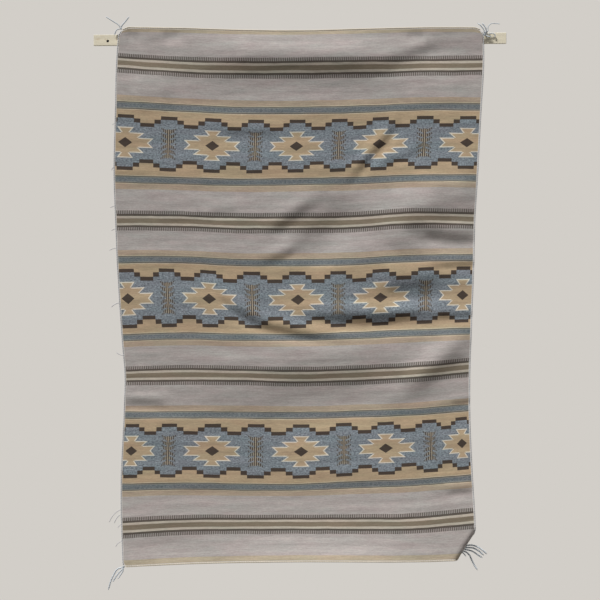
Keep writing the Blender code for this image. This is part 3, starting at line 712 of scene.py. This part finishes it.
def weave_pattern(tree, web, cloth_x, cloth_wander, heather):
    """The colour of the whole pattern; heather mixes the fibres of the blues."""
    chart = add(tree, "SeparateXYZ", (add(tree, "UVMap", uv_map="Chart"),))
    down = add(tree, "Math", (chart.outputs["Y"], 1 / MM, cloth_wander), operation="MULTIPLY_ADD")
    from_first = add(tree, "Math", (down, FIRST_DIAMOND_ROW), operation="SUBTRACT")
    from_row = add(tree, "Math", (from_first, HALF_REPEAT), operation="PINGPONG")
    motif_run = add(tree, "Math", (chart.outputs["X"], MOTIF_SPACING), operation="MULTIPLY")
    from_diamond = add(tree, "Math", (motif_run, MOTIF_SPACING / 2), operation="PINGPONG")
    from_feather = add(tree, "Math", (MOTIF_SPACING / 2, from_diamond), operation="SUBTRACT")
    from_motif = add(tree, "Math", (from_diamond, from_feather), operation="MINIMUM")

    # the plain stripes and the combs
    colour = stripe_colours(tree, web, from_row, heather)
    tooth_place = add(tree, "Math", (cloth_x, TOOTH_SPACING), operation="DIVIDE")
    tooth_place = add(tree, "Math", (tooth_place,), operation="FRACT")
    tooth = add(tree, "Math", (tooth_place, TOOTH_SHARE), operation="LESS_THAN")
    in_teeth = add(tree, "Math", (from_row, (TEETH_START + TEETH_END) / 2, (TEETH_END - TEETH_START) / 2),
                   operation="COMPARE")
    tooth_cover = add(tree, "MapRange", (tooth, 0.0, 1.0, TOOTH_GAP_COVER, TOOTH_COVER))
    teeth = add(tree, "Math", (tooth_cover, in_teeth), operation="MULTIPLY")
    colour = add(tree, "MixRGB", (teeth, colour, web.comb_dark))
    from_middle = add(tree, "Math", (add(tree, "Math", (down, CHART_MIDDLE), operation="SUBTRACT"),),
                      operation="ABSOLUTE")
    near_ends = add(tree, "Math", (from_middle, FIELD_BEYOND), operation="GREATER_THAN")
    colour = add(tree, "MixRGB", (near_ends, colour, web.field))
    top = add(tree, "Math", (down, TOP_TAN), operation="LESS_THAN")
    colour = add(tree, "MixRGB", (top, colour, web.edge_tan))
    bottom = add(tree, "Math", (down, WEB_LENGTH - BOTTOM_TAN), operation="GREATER_THAN")
    colour = add(tree, "MixRGB", (bottom, colour, web.edge_tan))

    # the stepped outline, dark to its outer side and blue to its inner side
    outer = step_heights(tree, from_motif, "outer")
    inner = step_heights(tree, from_motif, "inner")
    in_outer = add(tree, "Math", (from_row, outer), operation="LESS_THAN")
    in_inner = add(tree, "Math", (from_row, inner), operation="LESS_THAN")
    colour = add(tree, "MixRGB", (in_outer, colour, web.dark))
    blue = add(tree, "MixRGB", (heather, web.blue, web.blue_pale))
    colour = add(tree, "MixRGB", (in_inner, colour, blue))

    # the serrated diamonds
    cream_edge = serrated_edge(tree, from_row)
    shifted = add(tree, "Math", (from_row, OUTLINE_DOWN), operation="ADD")
    ledge = serrated_edge(tree, shifted)
    narrower = add(tree, "Math", (cream_edge, OUTLINE_ACROSS), operation="SUBTRACT")
    tan_edge = add(tree, "Math", (narrower, ledge), operation="MINIMUM")
    in_cream = add(tree, "Math", (from_diamond, cream_edge), operation="LESS_THAN")
    in_tan = add(tree, "Math", (from_diamond, tan_edge), operation="LESS_THAN")
    colour = add(tree, "MixRGB", (in_cream, colour, web.cream))
    colour = add(tree, "MixRGB", (in_tan, colour, web.tan))
    lozenge_across = add(tree, "Math", (from_diamond, 1 / LOZENGE_HALF_WIDTH), operation="MULTIPLY")
    lozenge = add(tree, "Math", (from_row, 1 / LOZENGE_HALF_HEIGHT, lozenge_across), operation="MULTIPLY_ADD")
    in_lozenge = add(tree, "Math", (lozenge, 1.0), operation="LESS_THAN")
    colour = add(tree, "MixRGB", (in_lozenge, colour, web.dark))

    # the feathers
    opened = add(tree, "Math", (from_feather, -FAN_SLOPE, from_row), operation="MULTIPLY_ADD")
    fan = add(tree, "Math", (opened, 1 / FAN_SPACING), operation="MULTIPLY")
    fan = add(tree, "Math", (fan,), operation="FRACT")
    in_share = add(tree, "Math", (fan, FAN_SHARE), operation="LESS_THAN")
    reach = add(tree, "Math", (fan, FAN_SPREAD, FAN_REACH), operation="MULTIPLY_ADD")
    in_reach = add(tree, "Math", (from_feather, reach), operation="LESS_THAN")
    in_fan = add(tree, "Math", (in_share, in_reach), operation="MULTIPLY")
    in_stem = add(tree, "Math", (from_feather, STEM_HALF_WIDTH), operation="LESS_THAN")
    in_feather = add(tree, "Math", (in_fan, in_stem), operation="MAXIMUM")
    in_height = add(tree, "Math", (opened, FEATHER_HALF_HEIGHT), operation="LESS_THAN")
    in_feather = add(tree, "Math", (in_feather, in_height), operation="MULTIPLY")
    tick_place = add(tree, "Math", (from_feather, 1 / TICK_SPACING, TICK_START), operation="MULTIPLY_ADD")
    tick_place = add(tree, "Math", (tick_place,), operation="FRACT")
    tick = add(tree, "Math", (tick_place, DARK_TICK_SHARE), operation="LESS_THAN")
    # pale wool lies between the dark ticks near the stem, and mostly blue between them at the tips
    pale_share = add(tree, "MapRange",
                     (from_feather, PALE_TICKS_TO, BLUE_BETWEEN_FROM, 1.0, PALE_SHARE_AT_TIPS))
    between = add(tree, "MixRGB", (pale_share, blue, web.feather_pale))
    ticks = add(tree, "MixRGB", (tick, between, web.dark))
    # the blue shows through the ticks where its fibres are palest
    shown = add(tree, "MapRange", (heather, FIBRE_SHOWS_FROM, 1.0, 1.0, TICKS_UNDER_FIBRE))
    in_feather = add(tree, "Math", (in_feather, shown), operation="MULTIPLY")
    return add(tree, "MixRGB", (in_feather, colour, ticks))


def woven_wool(web):
    """Handspun wool, weft-faced tapestry: dull and even, streaked along the weft by uneven dyeing and
    spinning, with low ribs over the warps."""
    material, tree = new_material("handspun wool tapestry")
    cloth = add(tree, "UVMap", uv_map="Cloth")
    parts = add(tree, "SeparateXYZ", (cloth,))
    cloth_x = add(tree, "Math", (parts.outputs["X"], 1 / MM), operation="MULTIPLY")

    # each weft wanders a little as it crosses, by up to 0.8 mm over some 80 mm
    wander_place = add(tree, "Mapping", {"Vector": cloth, "Scale": (12.0, 30.0, 1.0)})
    wander = add(tree, "TexNoise", {"Vector": wander_place, "Scale": 1.0, "Detail": 2.0})
    cloth_wander = add(tree, "Math", (wander, 3.2, -1.6), operation="MULTIPLY_ADD")
    # flecks of paler fibre, broken up by finer ones; real ones are finer still, and these are drawn
    # 5 mm across and 3 mm high so that they show
    fleck_place = add(tree, "Mapping", {"Vector": cloth, "Scale": (200.0, 340.0, 1.0)})
    flecks = add(tree, "TexNoise", {"Vector": fleck_place, "Scale": 1.0, "Detail": 3.0, "Roughness": 0.75})
    heather = add(tree, "MapRange", (flecks, 0.28, 0.72, 0.0, 1.0))
    colour = weave_pattern(tree, web, cloth_x, cloth_wander, heather)

    # streaks 25 mm long and 1.6 mm high, and broad ones 330 mm long and 13 mm high, where one batch
    # of wool follows another
    streak_place = add(tree, "Mapping", {"Vector": cloth, "Scale": (40.0, 620.0, 1.0)})
    streaks = add(tree, "TexNoise", {"Vector": streak_place, "Scale": 1.0, "Detail": 2.0, "Roughness": 0.6})
    batch_place = add(tree, "Mapping", {"Vector": cloth, "Scale": (3.0, 75.0, 1.0)})
    batches = add(tree, "TexNoise", {"Vector": batch_place, "Scale": 1.0, "Detail": 3.0, "Roughness": 0.55})
    # single stitches: one weft over one warp, two warps wide
    stitches = add(tree, "TexBrick", {
        "Vector": cloth, "Color1": (0.0, 0.0, 0.0), "Color2": (1.0, 1.0, 1.0), "Mortar": (0.3, 0.3, 0.3),
        "Scale": 1.0, "Mortar Size": web.weft_spacing * 0.12, "Mortar Smooth": 0.6, "Bias": 0.0,
        "Brick Width": web.warp_spacing * 2, "Row Height": web.weft_spacing,
    })
    streaked = add(tree, "MapRange", (streaks, 0.3, 0.7, 0.87, 1.13))
    batched = add(tree, "MapRange", (batches, 0.3, 0.7, 0.86, 1.14))
    # each stitch takes its own tone, and the thin gaps between stitches come out a little darker: painted
    # shade
    stitch_tone_and_gap_shade = add(tree, "MapRange", (stitches, 0.0, 1.0, 0.92, 1.08))
    flecked = add(tree, "MapRange", (flecks, 0.3, 0.7, 0.94, 1.06))
    light = add(tree, "Math", (streaked, batched), operation="MULTIPLY")
    light = add(tree, "Math", (light, stitch_tone_and_gap_shade), operation="MULTIPLY")
    light = add(tree, "Math", (light, flecked), operation="MULTIPLY")
    # the wool's hue drifts between pinkish and greenish, in stretches 110 mm long and 22 mm high
    hue_place = add(tree, "Mapping", {"Vector": cloth, "Scale": (9.0, 45.0, 1.0)})
    hue = add(tree, "TexNoise", {"Vector": hue_place, "Scale": 1.0, "Detail": 3.0, "Roughness": 0.6})
    hue = add(tree, "MapRange", (hue, 0.3, 0.7, 0.0, 1.0))
    tint = add(tree, "MixRGB", (hue, (1.04, 0.98, 0.975), (0.965, 1.015, 0.99)))
    colour = add(tree, "VectorMath", (colour, tint), operation="MULTIPLY")
    shaded = add(tree, "VectorMath", {0: colour, "Scale": light}, operation="SCALE")

    # relief: ribs over the warps, crossed by the rounded wefts
    rib_wave = add(tree, "Math", (cloth_x, math.pi * MM / web.warp_spacing), operation="MULTIPLY")
    rib = add(tree, "Math", (add(tree, "Math", (rib_wave,), operation="SINE"),), operation="ABSOLUTE")
    relief = add(tree, "Math", (stitches.outputs["Fac"], -0.6, rib), operation="MULTIPLY_ADD")
    relief = add(tree, "Math", (streaks, 0.8, relief), operation="MULTIPLY_ADD")
    bump = add(tree, "Bump", {"Strength": 0.35, "Distance": 0.4 * MM, "Height": relief})
    shader = add(tree, "BsdfPrincipled", {
        "Base Color": shaded, "Normal": bump, "Roughness": 0.92, "IOR": 1.5,
        "Specular IOR Level": 0.2, "Sheen Weight": 0.15, "Sheen Roughness": 0.6,
    })
    add(tree, "OutputMaterial", (shader,))
    return material


def plied_wool(name, pale, dark_and_groove_shade, patch):
    """Two-ply wool yarn: soft, dull and furry, with a painted highlight on its crowns and painted shade
    darkening its grooves.
    """
    material, tree = new_material(name)
    place = add(tree, "TexCoord")
    # patches where the wool is paler or darker, and a fuzz of fibres 0.7 mm apart
    patches = add(tree, "TexNoise", {"Vector": place.outputs["Object"], "Scale": 1 / patch, "Detail": 3.0})
    fibres = add(tree, "TexNoise", {"Vector": place.outputs["Object"], "Scale": 1400.0, "Detail": 2.0})
    yarn = add(tree, "SeparateXYZ", (add(tree, "UVMap", uv_map="Yarn"),))
    # painted light: the colour follows the section round the yarn, lighter on each ply's crown as a painted
    # highlight and darker in each groove between the plies as painted shade
    painted_light_wave = add(tree, "Math", (yarn.outputs["Y"], 4 * math.pi, math.pi / 2), operation="MULTIPLY_ADD")
    painted_crown_light = add(tree, "Math", (add(tree, "Math", (painted_light_wave,), operation="SINE"), 0.35, 0.5),
                operation="MULTIPLY_ADD")
    mixed = add(tree, "Math", (patches, 0.9, -0.45), operation="MULTIPLY_ADD")
    mixed = add(tree, "Math", (painted_crown_light, mixed), operation="ADD", use_clamp=True)
    # the dark colour serves as painted shade in the grooves and as the wool's own darker patches; the pale
    # one serves as painted highlight on the crowns and as its paler patches
    colour = add(tree, "MixRGB", (mixed, dark_and_groove_shade, pale))
    bump = add(tree, "Bump", {"Strength": 0.5, "Distance": 0.25 * MM, "Height": fibres})
    shader = add(tree, "BsdfPrincipled", {
        "Base Color": colour, "Normal": bump, "Roughness": 0.9, "IOR": 1.5,
        "Specular IOR Level": 0.2, "Sheen Weight": 0.2, "Sheen Roughness": 0.6,
    })
    add(tree, "OutputMaterial", (shader,))
    return material


def painted_pine(batten):
    """Painted pine lath: thin eggshell paint that the grain shows through, rubbed bare in streaks."""
    material, tree = new_material("painted pine")
    place = add(tree, "TexCoord").outputs["Object"]
    # grain 4 mm wide, and rubbed streaks 40 mm long and 8 mm wide
    grain_place = add(tree, "Mapping", {"Vector": place, "Scale": (6.0, 260.0, 260.0)})
    grain = add(tree, "TexNoise", {"Vector": grain_place, "Scale": 1.0, "Detail": 5.0, "Roughness": 0.6})
    wear_place = add(tree, "Mapping", {"Vector": place, "Scale": (25.0, 120.0, 120.0)})
    wear = add(tree, "TexNoise", {"Vector": wear_place, "Scale": 1.0, "Detail": 6.0, "Roughness": 0.7})
    rubbed = add(tree, "MapRange", (wear, 0.58, 0.74, 0.0, 0.75))
    toned = add(tree, "MapRange", (grain, 0.3, 0.7, 0.90, 1.05))
    colour = add(tree, "MixRGB", (rubbed, batten.paint, batten.bare_wood))
    colour = add(tree, "VectorMath", {0: colour, "Scale": toned}, operation="SCALE")
    rough = add(tree, "MapRange", (rubbed, 0.0, 1.0, 0.45, 0.75))
    bump = add(tree, "Bump", {"Strength": 0.4, "Distance": 0.2 * MM, "Height": grain})
    shader = add(tree, "BsdfPrincipled", {
        "Base Color": colour, "Normal": bump, "Roughness": rough, "IOR": 1.5,
    })
    add(tree, "OutputMaterial", (shader,))
    return material


def black_steel(batten):
    """Blackened steel screw: dark and half-matt, a little brighter where a driver has rubbed it."""
    material, tree = new_material("blackened steel")
    place = add(tree, "TexCoord").outputs["Object"]
    # rubbed spots 1 mm across
    rub = add(tree, "TexNoise", {"Vector": place, "Scale": 900.0, "Detail": 4.0})
    bright = add(tree, "MapRange", (rub, 0.35, 0.75, 0.7, 2.2))
    colour = add(tree, "VectorMath", {0: batten.screw, "Scale": bright}, operation="SCALE")
    rough = add(tree, "MapRange", (rub, 0.3, 0.7, 0.6, 0.4))
    shader = add(tree, "BsdfPrincipled", {"Base Color": colour, "Metallic": 0.9, "Roughness": rough})
    add(tree, "OutputMaterial", (shader,))
    return material


def plain_floor(stage):
    """Matt pale floor: faintly mottled, with no gloss."""
    material, tree = new_material("matt pale floor")
    place = add(tree, "TexCoord").outputs["Object"]
    # mottling 330 mm across
    mottle = add(tree, "TexNoise", {"Vector": place, "Scale": 3.0, "Detail": 3.0})
    toned = add(tree, "MapRange", (mottle, 0.3, 0.7, 0.97, 1.03))
    colour = add(tree, "VectorMath", {0: stage.floor, "Scale": toned}, operation="SCALE")
    shader = add(tree, "BsdfPrincipled", {"Base Color": colour, "Roughness": 0.9})
    add(tree, "OutputMaterial", (shader,))
    return material


def dress(thing, node):
    """The piece stands in for a CAD node, which is hidden, and moves with the body."""
    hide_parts(node)
    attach(thing, BODY)


class WEAVING_OT_web(bpy.types.Operator):
    """Weave the web: a thin sheet with its folds, its uneven edges and its pattern"""
    bl_idname = "weaving.web"
    bl_label = "Woven web"

    def execute(self, context):
        web = context.scene.weaving_web
        across, down = web_places()
        across, down = across[None, :], down[:, None]
        points = web_surface(across, down)
        rows, columns = points.shape[:2]
        facing = unit(np.cross(np.gradient(points, axis=0), np.gradient(points, axis=1)))
        half = web.thickness / MM / 2
        corners = np.concatenate([points + half * facing, points - half * facing]).reshape(-1, 3)
        behind = rows * columns

        index = np.arange(behind).reshape(rows, columns)
        a, b = index[:-1, :-1].ravel(), index[:-1, 1:].ravel()
        c, d = index[1:, 1:].ravel(), index[1:, :-1].ravel()
        front_faces = np.stack([a, d, c, b], axis=1)
        back_faces = np.stack([a, b, c, d], axis=1)
        rim = np.concatenate([index[0], index[1:, -1], index[-1, -2::-1], index[-2:0:-1, 0]])
        after = np.roll(rim, -1)
        rim_faces = np.stack([rim, after, after + behind, rim + behind], axis=1)
        faces = np.concatenate([front_faces, back_faces + behind, rim_faces])
        thing = mesh_object("wool_weaving", corners, faces.tolist(), woven_wool(web))
        thing.data.set_sharp_from_angle(angle=RIM_ANGLE)

        widths = np.linalg.norm(points[:, -1] - points[:, 0], axis=1)[:, None]
        cloth = np.stack(np.broadcast_arrays(across * widths, down * np.ones_like(across)), axis=-1) * MM
        chart = np.stack([motif_count(across, down), np.broadcast_to(down * MM, (rows, columns))], axis=-1)
        for name, values in (("Cloth", cloth), ("Chart", chart)):
            twice = np.concatenate([values.reshape(-1, 2)] * 2)
            add_uv_map(thing, name, twice[faces.ravel()])
        laid_flat = bake_places(cloth.reshape(-1, 2), front_faces, back_faces, rim_faces, behind)
        add_uv_map(thing, "OFBake", laid_flat)
        dress(thing, "weaving")
        return {"FINISHED"}


def bake_places(cloth, front_faces, back_faces, rim_faces, behind):
    """The web laid flat for baking: front and back side by side, and the rim as a strip round the front."""
    size = 2 * (cloth[:, 0].max() + BAKE_ROOM * MM)
    middle = cloth.mean(axis=0)
    front = (cloth + BAKE_GAP * MM) / size
    back = front + (0.5, 0)
    outside = (cloth + unit(cloth - middle) * BAKE_RIM * MM + BAKE_GAP * MM) / size
    on_front = (rim_faces < behind)[..., None]
    rim_corners = rim_faces % behind
    rim = np.where(on_front, front[rim_corners], outside[rim_corners])
    return np.concatenate([front[front_faces], back[back_faces], rim]).reshape(-1, 2)


class WEAVING_OT_edge_cords(bpy.types.Operator):
    """Ply the cords along the web's four edges, with the loose weft ends on the left one"""
    bl_idname = "weaving.edge_cords"
    bl_label = "Edge cords"

    def execute(self, context):
        cords = context.scene.weaving_cords
        across, down = web_places()
        points = web_surface(across[None, :], down[:, None])
        end = cords.end_thickness / MM
        side = cords.side_thickness / MM
        twist = cords.twist / MM
        # the cords' darker colour is painted shade in the grooves between their plies, and also their own
        # darker patches
        end_groove_shade = [CREAM_GROOVE_SHADE * value for value in cords.end_colour]
        side_groove_shade = [GREY_GROOVE_SHADE * value for value in cords.side_colour]
        cream = plied_wool("cream two-ply wool", cords.end_colour, end_groove_shade, patch=20 * MM)
        grey = plied_wool("pale grey two-ply wool", cords.side_colour, side_groove_shade, patch=12 * MM)
        top = plied_yarn(cord_path(points[0], points[1], end), end, twist)
        bottom = plied_yarn(cord_path(points[-1], points[-2], end), end, twist)
        right = plied_yarn(cord_path(points[:, -1], points[:, -2], side), side, twist)
        left_path = cord_path(points[:, 0], points[:, 1], side)
        left = [plied_yarn(left_path, side, twist)] + [loose_end(loose, left_path) for loose in LOOSE_ENDS]
        dress(yarn_object("edge_cord_top", top, cream), "end_cord_top")
        dress(yarn_object("edge_cord_bottom", bottom, cream), "end_cord_bottom")
        dress(yarn_object("edge_cord_right", right, grey), "side_cord_right")
        dress(yarn_object("edge_cord_left", joined(left), grey), "side_cord_left")
        return {"FINISHED"}


def loose_end(loose, cord):
    """A weft end that leaves the cord's middle and bends down, flat to the wall."""
    heights = -cord[:, 2]
    x = np.interp(-loose.z, heights, cord[:, 0])
    y = np.interp(-loose.z, heights, cord[:, 1])
    path = [
        (x, y, loose.z),
        (x - loose.reach * 0.3, y, loose.z - loose.drop * 0.15),
        (x - loose.reach * 0.7, y, loose.z - loose.drop * 0.5),
        (x - loose.reach, y, loose.z - loose.drop),
    ]
    return plied_yarn(path, loose.thickness, 5.0, sides=8, step=0.8, tip=0.2)


class WEAVING_OT_tassels(bpy.types.Operator):
    """Knot the four corner tassels"""
    bl_idname = "weaving.tassels"
    bl_label = "Corner tassels"

    def execute(self, context):
        tassels = context.scene.weaving_tassels
        twist = tassels.twist / MM
        material = plied_wool("blue grey two-ply wool", tassels.pale, tassels.dark_and_groove_shade, patch=9 * MM)
        for tassel in TASSELS:
            middle = np.array((tassel.x, -tassel.off, tassel.z))
            knot = knot_path(middle, tassel.size)
            shapes = [plied_yarn(knot, tassel.size * KNOT_YARN, twist, sides=8, step=0.5)]
            for yarn in tassel.yarns:
                path = [np.array((x, -off, z), dtype=float) for x, off, z in yarn.points]
                root = middle + unit(path[0] - middle) * tassel.size * ROOT_DEPTH
                shapes.append(plied_yarn([root] + path, yarn.thickness, twist, sides=10, step=0.8, tip=0.3))
            thing = yarn_object("corner_" + tassel.name, joined(shapes), material)
            dress(thing, tassel.name)
        return {"FINISHED"}


def knot_path(middle, size):
    """An overhand knot drawn tight: a trefoil loop that fills the knot's size, flat to the wall."""
    turn = np.linspace(0, 2 * math.pi, 49)
    loop = np.stack([
        np.sin(turn) + 2 * np.sin(2 * turn),
        -1.1 * np.sin(3 * turn),
        np.cos(turn) - 2 * np.cos(2 * turn),
    ], axis=1)
    return middle + loop * size * KNOT_LOOP / 3


class WEAVING_OT_batten(bpy.types.Operator):
    """Paint the lath"""
    bl_idname = "weaving.batten"
    bl_label = "Painted lath"

    def execute(self, context):
        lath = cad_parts["batten"]
        lath.material_slots[0].material = painted_pine(context.scene.weaving_batten)
        return {"FINISHED"}


class WEAVING_OT_screw(bpy.types.Operator):
    """Turn the screw, with its cross recess"""
    bl_idname = "weaving.screw"
    bl_label = "Screw"

    head_size: length_setting("Head", "Across the screw's head", 5.6)
    head_depth: length_setting("Head depth", "How thick the head is", 1.4)
    shank_size: length_setting("Shank", "Across the screw's shank", 2.6)
    recess_width: length_setting("Recess", "Width of each arm of the cross recess", 0.8)

    def execute(self, context):
        front = SCREW_FRONT * MM
        bpy.ops.object.select_all(action="DESELECT")
        bpy.ops.mesh.primitive_cylinder_add(
            vertices=32, radius=self.head_size / 2, depth=self.head_depth, rotation=(math.pi / 2, 0, 0),
            location=(SCREW_X * MM, front + self.head_depth / 2, SCREW_Z * MM),
        )
        screw = context.object
        screw.name = screw.data.name = "lath_screw"
        bpy.ops.object.transform_apply(location=True, rotation=True, scale=True)
        back = front + self.head_depth

        def pick_faces(chosen):
            """Selects the faces that a test of their middle chooses, and leaves the screw in edit mode."""
            bpy.ops.object.mode_set(mode="EDIT")
            bpy.ops.mesh.select_mode(type="FACE")
            bpy.ops.mesh.select_all(action="DESELECT")
            mesh = bmesh.from_edit_mesh(screw.data)
            for face in mesh.faces:
                face.select = chosen(face.calc_center_median())
            bmesh.update_edit_mesh(screw.data)

        pick_faces(lambda place: place.y > back - NEAR * MM)
        bpy.ops.mesh.inset(thickness=(self.head_size - self.shank_size) / 2)
        bpy.ops.mesh.extrude_region_move(TRANSFORM_OT_translate={"value": (0, -back, 0)})
        pick_faces(lambda place: place.y < front + NEAR * MM)
        bpy.ops.mesh.inset(thickness=SCREW_RIM * MM)
        bpy.ops.transform.translate(value=(0, SCREW_DISH * MM, 0))
        bpy.ops.object.mode_set(mode="OBJECT")

        for turn in (0, math.pi / 2):
            bpy.ops.object.select_all(action="DESELECT")
            bpy.ops.mesh.primitive_cube_add(
                size=1, location=(SCREW_X * MM, front, SCREW_Z * MM), rotation=(0, turn + RECESS_TURN, 0),
                scale=(self.head_size * RECESS_REACH, self.head_depth * RECESS_DEPTH, self.recess_width),
            )
            arm = context.object
            cut = screw.modifiers.new("recess", "BOOLEAN")
            cut.operation = "DIFFERENCE"
            cut.solver = "EXACT"
            cut.object = arm
            context.view_layer.objects.active = screw
            bpy.ops.object.modifier_apply(modifier=cut.name)
            bpy.data.objects.remove(arm)
        screw.data.materials.clear()
        screw.data.materials.append(black_steel(context.scene.weaving_batten))
        dress(screw, "batten_screw")
        return {"FINISHED"}


class WEAVING_OT_stage(bpy.types.Operator):
    """Set the floor, the lights and the camera"""
    bl_idname = "weaving.stage"
    bl_label = "Stage"

    def execute(self, context):
        stage = context.scene.weaving_stage
        bpy.ops.object.select_all(action="DESELECT")
        place = (0, -FLOOR_FORWARD * MM, -stage.floor_drop)
        bpy.ops.mesh.primitive_plane_add(size=stage.floor_size, location=place)
        floor = context.object
        floor.name = floor.data.name = "floor"
        bpy.ops.object.transform_apply(location=True, rotation=True, scale=True)
        floor.data.materials.append(plain_floor(stage))

        for light in LIGHTS:
            towards = Vector(light.towards)
            turned = towards.to_track_quat("Z", "Y").to_euler()
            bpy.ops.object.light_add(type="SUN", location=towards * LIGHT_DISTANCE, rotation=turned)
            lamp = context.object
            lamp.name = lamp.data.name = light.name
            lamp.data.energy = stage.key * light.share
            lamp.data.angle = math.radians(light.softness)

        world = bpy.data.worlds.new("soft studio")
        context.scene.world = world
        world.use_nodes = True
        tree = world.node_tree
        tree.nodes.clear()
        seen = add(tree, "Background", {"Color": stage.backdrop, "Strength": 1.0})
        soft = add(tree, "Background", {"Color": (1.0, 1.0, 1.0), "Strength": stage.ambient})
        path = add(tree, "LightPath")
        mixed = add(tree, "MixShader", (path.outputs["Is Camera Ray"], soft, seen))
        add(tree, "OutputWorld", (mixed,))

        place = (0, -stage.distance, -stage.view_drop)
        bpy.ops.object.camera_add(location=place, rotation=(math.pi / 2, 0, 0))
        camera = context.object
        camera.name = camera.data.name = "camera"
        camera.data.sensor_width = SENSOR_WIDTH
        camera.data.lens = SENSOR_WIDTH * (stage.distance - WEB_OFF_WALL * MM) / stage.view_height
        camera.data.clip_end = CLIP_END
        context.scene.camera = camera
        context.scene.view_settings.view_transform = "Standard"
        return {"FINISHED"}


class VIEW3D_PT_weaving(bpy.types.Panel):
    """The weaving's pieces and their sizes and colours"""
    bl_label = "Weaving"
    bl_space_type = "VIEW_3D"
    bl_region_type = "UI"
    bl_category = "Weaving"

    def draw(self, context):
        for settings, operators in PANEL_PARTS:
            box = self.layout.box()
            for operator in operators:
                box.operator(operator.bl_idname)
            group = getattr(context.scene, settings)
            for name in group.__annotations__:
                box.prop(group, name)


SETTINGS = (
    ("weaving_web", WebSettings),
    ("weaving_cords", CordSettings),
    ("weaving_tassels", TasselSettings),
    ("weaving_batten", BattenSettings),
    ("weaving_stage", StageSettings),
)
OPERATORS = (
    WEAVING_OT_web,
    WEAVING_OT_edge_cords,
    WEAVING_OT_tassels,
    WEAVING_OT_batten,
    WEAVING_OT_screw,
    WEAVING_OT_stage,
)
PANEL_PARTS = (
    ("weaving_web", (WEAVING_OT_web,)),
    ("weaving_cords", (WEAVING_OT_edge_cords,)),
    ("weaving_tassels", (WEAVING_OT_tassels,)),
    ("weaving_batten", (WEAVING_OT_batten, WEAVING_OT_screw)),
    ("weaving_stage", (WEAVING_OT_stage,)),
)


def register():
    for name, settings in SETTINGS:
        bpy.utils.register_class(settings)
        setattr(bpy.types.Scene, name, bpy.props.PointerProperty(type=settings))
    for part in (*OPERATORS, VIEW3D_PT_weaving):
        bpy.utils.register_class(part)


def unregister():
    for part in reversed((*OPERATORS, VIEW3D_PT_weaving)):
        bpy.utils.unregister_class(part)
    for name, settings in reversed(SETTINGS):
        delattr(bpy.types.Scene, name)
        bpy.utils.unregister_class(settings)


def main():
    register()
    bpy.ops.weaving.web()
    bpy.ops.weaving.edge_cords()
    bpy.ops.weaving.tassels()
    bpy.ops.weaving.batten()
    bpy.ops.weaving.screw()
    bpy.ops.weaving.stage()


if __name__ == "__main__":
    main()
